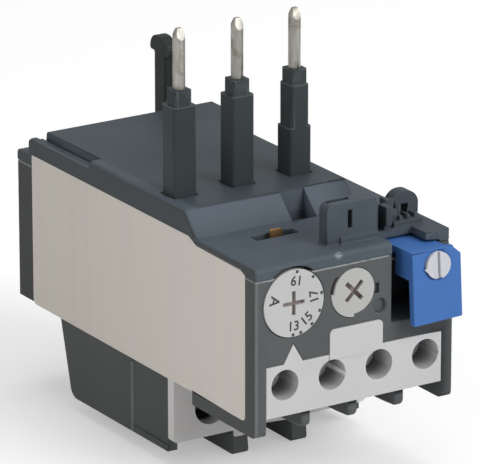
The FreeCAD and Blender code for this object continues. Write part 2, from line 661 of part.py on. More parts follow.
# ---- pins, sleeves and hook ---------------------------------------------------------
def sleeve_block(x, width, length, low, high, radius):
    w, l = width / 2, length / 2
    return prism("xy", [(x - w, PIN_Y - l, radius), (x + w, PIN_Y - l, radius),
                        (x + w, PIN_Y + l, radius), (x - w, PIN_Y + l, radius)], low, high)


def line_sleeve(i):
    """Insulating sleeve of one pole; the right-hand one is stepped."""
    x = PINS_X[i]
    stepped = i == 2
    under = PLATE_H - DECK_WALL
    slim = SLEEVE_W - 2 * SLEEVE_TAPER
    ledge = under - SEAT
    pieces = [
        sleeve_block(x, slim, SLEEVE_L, BUSBAR_TOP, under, SLEEVE_R),
        sleeve_block(x, slim, SLEEVE_L + 2 * FLANGE_L, ledge - FLANGE_H, ledge, SLEEVE_R),
        sleeve_block(x, SLEEVE_W, SLEEVE_L, under, STEP_TOP if stepped else SLEEVE_TOP, SLEEVE_R),
        sleeve_block(x, COLLAR_W, COLLAR_L, SLEEVE_TOP - 1, COLLAR_TOP, COLLAR_R),
    ]
    if stepped:
        pieces.append(sleeve_block(x, STEP_W, SLEEVE_L, STEP_TOP - 1, SLEEVE_TOP, STEP_R))
    bore = rod("z", (x, PIN_Y), BUSBAR_TOP - 1, COLLAR_TOP + 1, PIN_SHANK_R + RUNNING)
    return fused(pieces).cut(bore)


def line_pin(i):
    """Plug-in pin: slimmer shank inside the sleeve, wedge-shaped tip."""
    x = PINS_X[i]
    foot, shoulder = COLLAR_TOP + SEAT, PIN_TOP - PIN_NOSE
    shank = rod("z", (x, PIN_Y), BUSBAR_TOP, foot + SEAT, PIN_SHANK_R)
    free = rod("z", (x, PIN_Y), foot, PIN_TOP, PIN_R)
    outer, tip = PIN_R + 1, PIN_NOSE_T / 2
    wedge = prism("yz", [(PIN_Y - outer, foot - 1), (PIN_Y + outer, foot - 1), (PIN_Y + outer, shoulder),
                         (PIN_Y + PIN_R, shoulder), (PIN_Y + tip, PIN_TOP), (PIN_Y - tip, PIN_TOP),
                         (PIN_Y - PIN_R, shoulder), (PIN_Y - outer, shoulder)], x - outer, x + outer)
    return fused([shank, free.common(wedge)])


def mounting_hook():
    """Stem on the rear ledge whose head catches the contactor's rail."""
    front = HOOK_FRONT - HOOK_NOSE
    return prism("yz", [(HOOK_FRONT, DECK_H), (HOOK_BACK, DECK_H), (HOOK_BACK, HOOK_NECK, HOOK_NECK_R),
                        (DEPTH, HOOK_NECK, HOOK_LIP_R), (DEPTH, HOOK_TOP, HOOK_R), (front, HOOK_TOP, HOOK_R),
                        (front, HOOK_NECK_FRONT, HOOK_LIP_R), (HOOK_FRONT, HOOK_NECK_FRONT)],
                 HOOK_X, HOOK_X + HOOK_W)


# ---- terminal blocks ----------------------------------------------------------------
def aux_terminal_block():
    """Light-grey insert with four screw holes, dial pointer and marking pad."""
    blocks = [box(SIDE_WALL + SEAT, RIGHT_WALL - SEAT, 0, AUX_DEPTH - SEAT, -AUX_BOTTOM, -AUX_TOP - SEAT),
              prism("xz", pointer_outline(0), 0, MARK_T),
              prism("xz", pad_outline(0), -PAD_PROUD, MARK_T)]
    cuts = []
    for x in AUX_X:
        cuts.append(rod("y", (x, -AUX_DROP), -1, AUX_POCKET_BACK, AUX_HOLE_R))
        cuts.append(centred(x, AUX_POCKET_W / 2, AUX_POCKET_FRONT, AUX_POCKET_BACK,
                            -AUX_BOTTOM - 1, -AUX_DROP + AUX_HOLE_R))
        cuts.append(rod("y", (x, -AUX_DROP), AUX_POCKET_BACK - 1, AUX_DEPTH + 1, AUX_SCREW_R + FREE))
        cuts.append(centred(x, TAIL_W / 2 + SEAT, AUX_POCKET_BACK - 1, AUX_DEPTH + 1,
                            -TAIL_DROP - CONTACT_T - SEAT, -TAIL_DROP + SEAT))
    return fused(blocks).cut(cuts)


def main_terminal_shroud():
    """Light-grey front of the main terminals with a collar behind each screw hole."""
    back = BAY_FRONT - SEAT
    front = back - SHROUD_T
    left, right = SHROUD_INSET, WIDTH - SHROUD_INSET
    pieces = [prism("xz", [(left, -SHROUD_DROP, SHROUD_R), (right, -SHROUD_DROP, SHROUD_R),
                           (right, -BODY_DROP - SEAT), (left, -BODY_DROP - SEAT)], front, back)]
    collar_back = HEAD_FRONT - COLLAR_GAP
    for x in TERMINAL_X:
        pieces.append(rod("y", (x, -TERMINAL_DROP), front + SHROUD_T / 2, collar_back,
                          SCREW_HOLE_R + COLLAR_WALL))
    nub = SHROUD_DROP + SHROUD_NUB
    for x in FIN_X:
        left, right = x - FIN_W / 2, x + FIN_W / 2
        pieces.append(prism("xz", [(left, -nub, 0.5), (right, -nub, 0.5), (right, -SHROUD_DROP + 1),
                                   (left, -SHROUD_DROP + 1)], front, back))
    holes = [rod("y", (x, -TERMINAL_DROP), front - 1, collar_back + 1, SCREW_HOLE_R) for x in TERMINAL_X]
    return fused(pieces).cut(holes)


def side_label():
    return prism("yz", label_outline(0), 0, LABEL_T)


# ---- screws and clamps --------------------------------------------------------------
def cross_screw(x, z, head_front, head_r, head_t, shank_r, tip):
    """Screw along +y with a cross-recessed head."""
    head_back = head_front + head_t
    screw = fused([rod("y", (x, z), head_front, head_back, head_r),
                   rod("y", (x, z), head_back - SEAT, tip, shank_r)])
    narrow, wide = head_r * CROSS_W, head_r * CROSS_L
    depth = head_front + head_t / 2
    return screw.cut([centred(x, narrow, head_front - 1, depth, z - wide, z + wide),
                      centred(x, wide, head_front - 1, depth, z - narrow, z + narrow)])


def clamp_plate(x, z, half, front, back, fall, rise, screw_r):
    """Flat plate or bar round a clamping screw."""
    plate = centred(x, half, front, back, z - fall, z + rise)
    return plate.cut(rod("y", (x, z), front - 1, back + 1, screw_r + RUNNING))


def main_terminal_screws():
    tip = PARTITION + PARTITION_W + 1
    return Part.makeCompound([cross_screw(x, -TERMINAL_DROP, HEAD_FRONT, MAIN_HEAD_R, MAIN_HEAD_T,
                                          MAIN_SCREW_R, tip) for x in TERMINAL_X])


def main_pressure_plates():
    return Part.makeCompound([clamp_plate(x, -TERMINAL_DROP, BAR_W / 2, WASHER_BACK - MAIN_PLATE_T,
                                          WASHER_BACK, CLAMP_FALL, CLAMP_RISE, MAIN_SCREW_R)
                              for x in TERMINAL_X])


def load_terminal(i):
    """Bar behind one main clamp, with a tail that carries the foot of the bimetal strip."""
    x = TERMINAL_X[i]
    plate = clamp_plate(x, -TERMINAL_DROP, BAR_W / 2, BAR_Y, BAR_Y + BAR_T, -BAY_FLOOR - TERMINAL_DROP,
                        CLAMP_RISE, MAIN_SCREW_R)
    tail = centred(x, BAR_W / 2 - 1 - GLIDE, BAR_Y, STRIP_Y + STRIP_W / 2 + 0.5, BAY_FLOOR, BAY_FLOOR + BAR_T)
    return fused([plate, tail])


def aux_terminal_screws():
    return Part.makeCompound([cross_screw(x, -AUX_DROP, AUX_POCKET_FRONT + FREE, AUX_HEAD_R, AUX_HEAD_T,
                                          AUX_SCREW_R, AUX_DEPTH - AUX_SCREW_END) for x in AUX_X])


def aux_pressure_plates():
    half = AUX_POCKET_W / 2 - AUX_PLAY
    return Part.makeCompound([clamp_plate(x, -AUX_DROP, half, AUX_PLATE_FRONT, AUX_PLATE_FRONT + AUX_PLATE_T,
                                          AUX_PLATE_FALL, AUX_PLATE_RISE, AUX_SCREW_R) for x in AUX_X])


# ---- contacts -----------------------------------------------------------------------
def contact_bar(x, tip_front):
    """Auxiliary bar: clamp plate, tail through the wall and upright contact tip."""
    back = AUX_POCKET_BACK - GLIDE
    front = back - CONTACT_T
    low = -TAIL_DROP - CONTACT_T
    plate = clamp_plate(x, -AUX_DROP, AUX_POCKET_W / 2 - AUX_PLAY, front, back, -AUX_DROP - low,
                        AUX_PLATE_RISE, AUX_SCREW_R)
    tip_back = tip_front + CONTACT_T
    return fused([plate, centred(x, TAIL_W / 2, front, tip_back, low, -TAIL_DROP),
                  centred(x, TAIL_W / 2, tip_front, tip_back, low, -TIP_DROP)])


def closed_contact_bars():
    return Part.makeCompound([contact_bar(x, NC_TIP) for x in AUX_X[:2]])


def open_contact_bars():
    return Part.makeCompound([contact_bar(x, NO_TIP) for x in AUX_X[2:]])


def contact_carrier():
    """Slider on the base rail that holds both contact bridges."""
    front, back = NC_TIP - CARRIER_LIP, NO_TIP + CARRIER_TAIL
    low = RAIL_TOP - CARRIER_SKIRT
    body = box(CARRIER_LEFT, CARRIER_RIGHT, front, back, low, CARRIER_TOP)
    return body.cut(centred(RAIL_X, RAIL_W / 2 + RAIL_PLAY, front - 1, back + 1, low - 1, RAIL_TOP + GLIDE))


def contact_bridge(left, right, front):
    top = -TIP_DROP - BRIDGE_FALL
    return box(left, right, front, front + BRIDGE_T, top - TIP_LAP, top)


def closed_contact_bridge():
    return contact_bridge(AUX_X[0] - BRIDGE_END, CARRIER_LEFT, NC_TIP + CONTACT_T + SEAT)


def open_contact_bridge():
    return contact_bridge(CARRIER_RIGHT, AUX_X[3] + BRIDGE_END, NO_TIP - CONTACT_TRAVEL - BRIDGE_T - GLIDE)


# ---- current path -------------------------------------------------------------------
def busbar(i):
    """Flat bar from the pin to the heater, stepping sideways between the two pitches."""
    pin, terminal, half = PINS_X[i], TERMINAL_X[i], BUSBAR_W / 2
    front, bend = PIN_Y - BUSBAR_FRONT, PIN_Y + BUSBAR_BEND
    straight = bend + BUSBAR_JOG
    return prism("xy", [(pin - half, front), (pin + half, front), (pin + half, bend),
                        (terminal + half, straight), (terminal + half, BUSBAR_BACK),
                        (terminal - half, BUSBAR_BACK), (terminal - half, straight), (pin - half, bend)],
                 BUSBAR_TOP - BUSBAR_T, BUSBAR_TOP)


def bimetal_strip(i):
    return centred(TERMINAL_X[i], STRIP_T / 2, STRIP_Y - STRIP_W / 2, STRIP_Y + STRIP_W / 2,
                   BAY_FLOOR + BAR_T, STRIP_TOP)


def heater_winding(i):
    """Flat ribbon wound round the bimetal strip: rings joined by alternate risers."""
    x = TERMINAL_X[i]
    half = HEATER_LEAD / 2
    pieces = []
    for turn in range(HEATER_TURNS):
        top = HEATER_TOP - turn * HEATER_PITCH
        ring = centred(x, HEATER_X, STRIP_Y - HEATER_Y, STRIP_Y + HEATER_Y, top - HEATER_BAND, top)
        pieces.append(ring.cut(centred(x, HEATER_X - HEATER_T, STRIP_Y - HEATER_Y + HEATER_T,
                                       STRIP_Y + HEATER_Y - HEATER_T, top - HEATER_BAND - 1, top + 1)))
        if turn < HEATER_TURNS - 1:
            y = STRIP_Y + (1 if turn % 2 else -1) * (HEATER_Y - HEATER_T / 2)
            pieces.append(centred(x, half, y - HEATER_T / 2, y + HEATER_T / 2, top - HEATER_PITCH, top))
    lead_top = BUSBAR_TOP - BUSBAR_T
    front = STRIP_Y - HEATER_Y
    low = HEATER_TOP - (HEATER_TURNS - 1) * HEATER_PITCH - HEATER_BAND
    pieces += [
        centred(x, half, front, front + HEATER_T, HEATER_TOP - 1, lead_top),
        centred(x, half, BUSBAR_BACK - LEAD_LAP, front + HEATER_T, lead_top - HEATER_T, lead_top),
        box(x + STRIP_T / 2, x + HEATER_X, STRIP_Y - half, STRIP_Y + half, low, low + HEATER_BAND)]
    return fused(pieces)


# ---- trip mechanism -----------------------------------------------------------------
def trip_slider():
    """Cross bar pushed by the three bimetal tips, with an arm to the compensation strip."""
    front_edge, back_edge = STRIP_Y - SLIDER_W / 2, STRIP_Y + SLIDER_W / 2
    arm_top = SLIDER_TOP + ARM_RISE
    arm_low = arm_top - ARM_T
    front = TRIP_Y - TRIP_T / 2 - FREE
    pieces = [
        box(SLIDER_LEFT, SLIDER_RIGHT, front_edge, back_edge, SLIDER_BOTTOM, SLIDER_TOP),
        box(ARM_X, ARM_X + ARM_W, front, front_edge + 1, arm_low, arm_top),
        box(TRIP_X + TRIP_W / 2 + FREE, ARM_X + ARM_W, front, front + ARM_W, arm_low, arm_top)]
    notches = [box(x - STRIP_T / 2 - FREE, x + STRIP_T / 2 + FREE + SLIDER_TRAVEL,
                   STRIP_Y - STRIP_W / 2 - FREE, STRIP_Y + STRIP_W / 2 + FREE,
                   SLIDER_BOTTOM - 1, SLIDER_TOP + 1) for x in TERMINAL_X]
    return fused(pieces).cut(notches)


def compensation_strip():
    """Copper-faced strip on a stud of the frame; its tip shows in the slot of the deck."""
    left, right = TRIP_X - TRIP_W / 2, TRIP_X + TRIP_W / 2
    low = -TRIP_PIVOT_DROP - TRIP_FOOT
    front, back = TRIP_Y - TRIP_T / 2, TRIP_Y + TRIP_T / 2
    body = prism("xz", [(left, low, TRIP_FOOT_R), (right, low, TRIP_FOOT_R), (right, TRIP_TOP, TRIP_TIP_R),
                        (left, TRIP_TOP, TRIP_TIP_R)], front, back)
    return body.cut(rod("y", (TRIP_X, -TRIP_PIVOT_DROP), front - 1, back + 1, TRIP_STUD_R + RUNNING))


def mechanism_frame():
    """Upright plate that bears the dial and test shafts and carries the strip's stud."""
    plate = box(SIDE_WALL + GLIDE, RESET_LEFT - RESET_WALL - GLIDE, FRAME_FRONT, FRAME_BACK,
                -SHELF_DROP, DECK_H - DECK_WALL - GLIDE)
    pivot = (TRIP_X, -TRIP_PIVOT_DROP)
    stud = rod("y", pivot, FRAME_FRONT, TRIP_Y + TRIP_T / 2 + 0.6, TRIP_STUD_R)
    collar = rod("y", pivot, FRAME_FRONT, TRIP_Y - TRIP_T / 2 - GLIDE, TRIP_STUD_R + STUD_COLLAR)
    holes = [rod("y", (x, z), FRAME_FRONT - 1, FRAME_BACK + 1, r + RUNNING)
             for x, z, r in ((DIAL_X, -DIAL_DROP, DIAL_SHAFT_R), (TEST_X, -TEST_DROP, TEST_SHAFT_R))]
    return fused([plate, stud, collar]).cut(holes)


# ---- dial and test disc -------------------------------------------------------------
def cross_slot(x, z, reach, turned):
    """Two crossing screwdriver slots, upright or turned by 45 degrees."""
    half = DRIVE_SLOT / 2
    arms = fused([centred(x, half, -1, DRIVE_DEPTH, z - reach, z + reach),
                  centred(x, reach, -1, DRIVE_DEPTH, z - half, z + half)])
    if turned:
        arms.rotate(V(x, 0, z), V(0, 1, 0), 45)
    return arms


def current_dial():
    disc = rod("y", (DIAL_X, -DIAL_DROP), -DISC_PROUD, DIAL_T - DISC_SEAT, DIAL_R)
    return disc.cut(cross_slot(DIAL_X, -DIAL_DROP, DIAL_SLOT, False))


def adjusting_shaft():
    """Shaft behind the dial with the eccentric cam that sets the tripping current."""
    cam_front = FRAME_BACK + FINGER_GAP
    shaft = rod("y", (DIAL_X, -DIAL_DROP), DIAL_T - DISC_SEAT, cam_front + CAM_T, DIAL_SHAFT_R)
    cam = rod("y", (DIAL_X - CAM_THROW, -DIAL_DROP), cam_front, cam_front + CAM_T, DIAL_SHAFT_R + CAM_WALL)
    return fused([shaft, cam])


def test_disc():
    """Disc with a raised-radius flag over its lower left quarter."""
    back = TEST_T - DISC_SEAT
    disc = rod("y", (TEST_X, -TEST_DROP), -DISC_PROUD, back, TEST_R)
    flag = rod("y", (TEST_X, -TEST_DROP), -DISC_PROUD, back, TEST_FLAG_R).common(
        box(TEST_X - 2 * TEST_R, TEST_X, -1, back, -TEST_DROP - 2 * TEST_R, -TEST_DROP))
    return fused([disc, flag]).cut(cross_slot(TEST_X, -TEST_DROP, TEST_SLOT, True))


def test_shaft():
    finger_y = FRAME_BACK + FINGER_GAP
    shaft = rod("y", (TEST_X, -TEST_DROP), TEST_T - DISC_SEAT, finger_y + FINGER_T, TEST_SHAFT_R)
    finger = box(TEST_X - FINGER_REACH, TEST_X, finger_y, finger_y + FINGER_T,
                 -TEST_DROP - FINGER_W / 2, -TEST_DROP + FINGER_W / 2)
    return fused([shaft, finger])


# ---- reset button -------------------------------------------------------------------
def lean_over(shape):
    """Tip a piece drawn upright on the front plane so that it lies on the button's face."""
    foot = V(0, -BUTTON_PROUD, -BUTTON_BOTTOM)
    shape.translate(V(0, -BUTTON_PROUD, 0))
    shape.rotate(foot, V(1, 0, 0), -math.degrees(LEAN))
    return shape


def reset_button():
    front_top = -BUTTON_PROUD + BUTTON_LEAN
    back_low = -BUTTON_PROUD + BUTTON_T
    plate = prism("yz", [(front_top, BUTTON_TOP, BUTTON_R), (-BUTTON_PROUD, -BUTTON_BOTTOM),
                         (back_low, -BUTTON_BOTTOM), (back_low + BUTTON_LEAN, BUTTON_TOP)],
                  BUTTON_LEFT, WIDTH)
    arm = box(BUTTON_LEFT, ARM_RIGHT, back_low, BUTTON_ARM_BACK, -BUTTON_ARM_DROP, BUTTON_TOP)
    stem = rod("y", (STEM_X, -STEM_DROP), BUTTON_ARM_BACK - 0.5, RESET_DEPTH + RESET_WALL + STEM_TAIL, STEM_R)
    dish = lean_over(rod("y", (SELECTOR_X, -SELECTOR_DROP), -1, DISH_DEPTH, DISH_R))
    bore = lean_over(rod("y", (SELECTOR_X, -SELECTOR_DROP), -1, SELECTOR_SHAFT_L + 0.2,
                         SELECTOR_SHAFT_R + RUNNING))
    return fused([plate, arm, stem]).cut([dish, bore])


def reset_selector():
    """Slotted disc in the button, with a pointer lip, that picks hand or automatic reset."""
    x, z = SELECTOR_X, -SELECTOR_DROP
    back = DISH_DEPTH - SEAT
    disc = rod("y", (x, z), -SELECTOR_PROUD, back, SELECTOR_R)
    inner = x - SELECTOR_R / 2
    lip = prism("xz", [(x - SELECTOR_R - LIP_REACH, z - 0.5), (inner, z - 0.5 - LIP_W / 2),
                       (inner, z - 0.5 + LIP_W / 2)], -SELECTOR_PROUD, -GLIDE)
    shaft = rod("y", (x, z), 0, SELECTOR_SHAFT_L, SELECTOR_SHAFT_R)
    slot = centred(x, SELECTOR_SLOT / 2, -SELECTOR_PROUD - 1, -SELECTOR_PROUD + 0.6, z - DISH_R, z + DISH_R)
    notch = centred(x, 0.7, -SELECTOR_PROUD - 1, -GLIDE, z - SELECTOR_R - 1, z - SELECTOR_R + 0.35)
    return lean_over(fused([disc, lip, shaft]).cut([slot, notch]))


def reset_spring():
    """Coil spring round the stem, drawn as rings joined by a back wire."""
    pitch = (RESET_DEPTH - BUTTON_ARM_BACK - SPRING_WIRE) / (SPRING_TURNS - 1)
    inner = SPRING_R - SPRING_WIRE
    pieces = []
    for turn in range(SPRING_TURNS):
        y = BUTTON_ARM_BACK + turn * pitch
        ring = rod("y", (STEM_X, -STEM_DROP), y, y + SPRING_WIRE, SPRING_R)
        pieces.append(ring.cut(rod("y", (STEM_X, -STEM_DROP), y - 1, y + 1, inner)))
    pieces.append(centred(STEM_X, SPRING_WIRE / 2, BUTTON_ARM_BACK, RESET_DEPTH,
                          -STEM_DROP - SPRING_R + RUNNING, -STEM_DROP - inner - RUNNING))
    return fused(pieces)


# ---- export -------------------------------------------------------------------------
NODES = {
    "base_housing": base_housing, "top_cover": top_cover, "side_label": side_label,
    "mounting_hook": mounting_hook, "aux_terminal_block": aux_terminal_block,
    "main_terminal_shroud": main_terminal_shroud, "main_terminal_screws": main_terminal_screws,
    "main_pressure_plates": main_pressure_plates, "aux_terminal_screws": aux_terminal_screws,
    "aux_pressure_plates": aux_pressure_plates, "closed_contact_bars": closed_contact_bars,
    "open_contact_bars": open_contact_bars, "contact_carrier": contact_carrier,
    "closed_contact_bridge": closed_contact_bridge, "open_contact_bridge": open_contact_bridge,
    "trip_slider": trip_slider, "compensation_strip": compensation_strip,
    "mechanism_frame": mechanism_frame, "current_dial": current_dial,
    "adjusting_shaft": adjusting_shaft, "test_disc": test_disc, "test_shaft": test_shaft,
    "reset_button": reset_button, "reset_selector": reset_selector, "reset_spring": reset_spring,
}
POLE_NODES = {
    "line_sleeve": line_sleeve, "line_pin": line_pin, "busbar": busbar, "load_terminal": load_terminal,
    "bimetal_strip": bimetal_strip, "heater_winding": heater_winding,
}

os.makedirs("parts", exist_ok=True)
shapes = {name: make() for name, make in NODES.items()}
for name, make in POLE_NODES.items():
    for pole in range(3):
        shapes[f"{name}_{pole + 1}"] = make(pole)
for name, shape in shapes.items():
    shape.translate(OFFSET)
    shape.exportStep(f"parts/{name}.step")
    print(name, "solids", len(shape.Solids), "volume", round(shape.Volume, 1), "valid", shape.isValid())
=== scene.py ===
import json
from math import atan2, copysign, cos, degrees, hypot, pi, radians, sin

import bmesh
import bpy
from mathutils import Euler, Matrix, Vector

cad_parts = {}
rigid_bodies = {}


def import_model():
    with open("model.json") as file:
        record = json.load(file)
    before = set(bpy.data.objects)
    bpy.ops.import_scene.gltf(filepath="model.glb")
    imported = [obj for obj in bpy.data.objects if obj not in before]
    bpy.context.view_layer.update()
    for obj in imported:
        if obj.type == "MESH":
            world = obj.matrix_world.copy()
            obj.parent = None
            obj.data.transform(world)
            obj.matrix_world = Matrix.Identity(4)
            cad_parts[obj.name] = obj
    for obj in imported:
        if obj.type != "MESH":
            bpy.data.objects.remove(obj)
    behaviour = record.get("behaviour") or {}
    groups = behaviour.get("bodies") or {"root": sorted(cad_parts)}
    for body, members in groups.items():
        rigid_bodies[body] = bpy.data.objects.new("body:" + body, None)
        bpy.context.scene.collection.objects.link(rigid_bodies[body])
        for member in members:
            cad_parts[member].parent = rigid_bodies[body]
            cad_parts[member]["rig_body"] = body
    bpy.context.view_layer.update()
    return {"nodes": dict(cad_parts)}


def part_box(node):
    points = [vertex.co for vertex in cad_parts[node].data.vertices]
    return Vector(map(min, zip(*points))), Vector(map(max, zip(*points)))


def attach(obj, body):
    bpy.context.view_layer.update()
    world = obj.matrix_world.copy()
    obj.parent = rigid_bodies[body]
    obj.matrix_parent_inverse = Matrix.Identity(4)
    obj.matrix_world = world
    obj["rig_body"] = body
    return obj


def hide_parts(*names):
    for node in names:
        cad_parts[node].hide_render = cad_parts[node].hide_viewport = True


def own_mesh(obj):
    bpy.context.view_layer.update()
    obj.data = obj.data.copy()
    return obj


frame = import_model()


# ---- places on the relay, in millimetres from its datum -----------------------------
MM = 0.001
DATUM = Vector((-22.0, -42.05, 46.4))     # left wall, front face and parting line
POLE_PITCH = 12.9
MIDDLE_POLE_X = 17.45
POLE_X = {pole: MIDDLE_POLE_X + (pole - 2) * POLE_PITCH for pole in (1, 2, 3)}
POLE_Y = 34.05
DIAL_AT = (8.3, -5.5)                     # x and z of the dial's axis
TEST_AT = (21.7, -5.6)
PIT_AT = (27.4, -9.5)                     # small pit beside the test disc
SECOND_BORE_AT = (16.95, -21.3)           # second auxiliary screw bore from the left
DECK_TOP = 2.4
PLATE_TOP = 7.1
RAIL_WIDTH = 2.0
RAIL_TOP = 5.7                            # the solid's rail stands 0.5 higher
RAIL_ROUND = 0.75
LABEL_DROP = 0.45                         # the solid's label ends this much higher
SKIRT_FOOT = -31.0                        # the solid's skirts end 0.5 higher


# ---- shader helpers -----------------------------------------------------------------
class Wire:
    """A node's output that can be used in plain arithmetic."""

    def __init__(self, graph, socket):
        self.graph = graph
        self.socket = socket

    def math(self, operation, first, second):
        return self.graph.add("ShaderNodeMath", {"operation": operation}, {0: first, 1: second})

    def __add__(self, other):
        return self.math("ADD", self, other)

    __radd__ = __add__

    def __sub__(self, other):
        return self.math("SUBTRACT", self, other)

    def __rsub__(self, other):
        return self.math("SUBTRACT", other, self)

    def __mul__(self, other):
        return self.math("MULTIPLY", self, other)

    __rmul__ = __mul__


class Graph:
    """A node tree; add() makes a node from its type, settings and socket values."""

    def __init__(self, tree):
        self.nodes = tree.nodes
        self.links = tree.links
        self.nodes.clear()

    def add(self, kind, settings=None, sockets=None, out=0):
        node = self.nodes.new(kind)
        for key, value in (settings or {}).items():
            setattr(node, key, value)
        for key, value in (sockets or {}).items():
            if isinstance(value, Wire):
                self.links.new(value.socket, node.inputs[key])
            else:
                node.inputs[key].default_value = value
        return Wire(self, node.outputs[out] if node.outputs else None)

    def larger(self, first, second):
        """The larger of two values."""
        return self.add("ShaderNodeMath", {"operation": "MAXIMUM"}, {0: first, 1: second})


class Finish(Graph):
    """One material, worked out from Object coordinates."""

    def __init__(self, name):
        self.material = bpy.data.materials.new(name)
        self.material.use_nodes = True
        super().__init__(self.material.node_tree)

    def place(self):
        """Object coordinates, in metres."""
        return self.add("ShaderNodeTexCoord", out="Object")

    def noise(self, scale, detail=2.0, roughness=0.5, stretch=None):
        """Noise value over the object; stretch scales each axis."""
        where = self.place()
        if stretch:
            where = self.add("ShaderNodeMapping", None, {"Vector": where, "Scale": stretch})
        return self.add("ShaderNodeTexNoise", None,
                        {"Vector": where, "Scale": scale, "Detail": detail, "Roughness": roughness})

    def from_datum(self):
        """Object position in millimetres from the relay's datum, as x, y and z."""
        spot = self.add("ShaderNodeVectorMath", {"operation": "MULTIPLY_ADD"},
                        {0: self.place(), 1: (1 / MM, 1 / MM, 1 / MM), 2: tuple(-DATUM)})
        return [self.add("ShaderNodeSeparateXYZ", None, {0: spot}, out=axis) for axis in "XYZ"]

    def distance(self, spot):
        """Distance in metres from a spot on the relay."""
        return self.add("ShaderNodeVectorMath", {"operation": "DISTANCE"},
                        {0: self.place(), 1: tuple(in_metres(spot))}, out="Value")

    def band(self, value, low, high):
        """0 below low, 1 above high."""
        return self.add("ShaderNodeMapRange", {"interpolation_type": "SMOOTHSTEP"},
                        {"Value": value, "From Min": low, "From Max": high})

    def below(self, value, low, high):
        """1 below low, 0 above high."""
        return 1.0 - self.band(value, low, high)

    def mix(self, factor, first, second):
        """Colour between first, at factor 0, and second, at factor 1."""
        return self.add("ShaderNodeMix", {"data_type": "RGBA"},
                        {"Factor": factor, 6: first, 7: second}, out=2)

    def bump(self, strength, depth, height):
        """Normal of a relief; depth in millimetres."""
        return self.add("ShaderNodeBump", None,
                        {"Strength": strength, "Distance": depth * MM, "Height": height})

    def close(self, **sockets):
        """The finished material, its shader set by socket names with underscores for spaces."""
        named = {key.replace("_", " "): value for key, value in sockets.items()}
        shader = self.add("ShaderNodeBsdfPrincipled", None, named)
        self.add("ShaderNodeOutputMaterial", None, {"Surface": shader})
        return self.material


def in_metres(spot):
    """Place in the frame of a spot given in relay millimetres."""
    return (Vector(spot) + DATUM) * MM


def on_relay(vert):
    """Relay millimetres of a mesh corner."""
    return vert.co / MM - DATUM


def rgb(red, green, blue):
    """Colour written on the 0-255 screen scale."""
    def linear(value):
        value /= 255
        return value / 12.92 if value <= 0.04045 else ((value + 0.055) / 1.055) ** 2.4
    return (linear(red), linear(green), linear(blue), 1.0)


# ---- finishes -----------------------------------------------------------------------
def mottled(f, dark, light):
    """Moulding tone that drifts slowly, with spark-eroded grain over it."""
    drift = f.band(f.noise(70.0, 3.0), 0.3, 0.7)
    speck = f.noise(4200.0, 2.0, 0.6)
    return f.mix(drift * 0.6 + speck * 0.4, dark, light), speck


def painted_crevice_shade(f, tone, crevice_shade):
    """Painted shade: darker colour in recesses, slots and inner corners, worked out by ambient occlusion.
    """
    reach = 3.5 * MM
    openness = f.add("ShaderNodeAmbientOcclusion", {"samples": 8}, {"Distance": reach}, out="AO")
    return f.mix(f.band(1.0 - openness, 0.42, 0.85) * 0.75, tone, crevice_shade)


def painted_edge_highlight(f, tone, highlight_colour, radius=0.35, strength=0.5):
    """Painted highlight: paler colour along convex corners, found with the Bevel node."""
    rounded = f.add("ShaderNodeBevel", {"samples": 4}, {"Radius": radius * MM})
    flat = f.add("ShaderNodeNewGeometry", out="Normal")
    facing = f.add("ShaderNodeVectorMath", {"operation": "DOT_PRODUCT"}, {0: rounded, 1: flat}, out="Value")
    return f.mix(f.band(1.0 - facing, 0.02, 0.3) * strength, tone, highlight_colour)


def grained(f, colour, speck, rough, grain):
    """Matt moulded surface; speck is its grain."""
    return f.close(Base_Color=colour, Roughness=rough + speck * 0.12, Normal=f.bump(grain, 0.03, speck),
                   Specular_IOR_Level=0.15)


def moulded_plastic(name, dark, light, rough, grain, highlight_colour, radius=0.35, strength=0.5):
    """Injection-moulded plastic with painted highlights along its edges."""
    f = Finish(name)
    tone, speck = mottled(f, dark, light)
    return grained(f, painted_edge_highlight(f, tone, highlight_colour, radius, strength), speck, rough, grain)


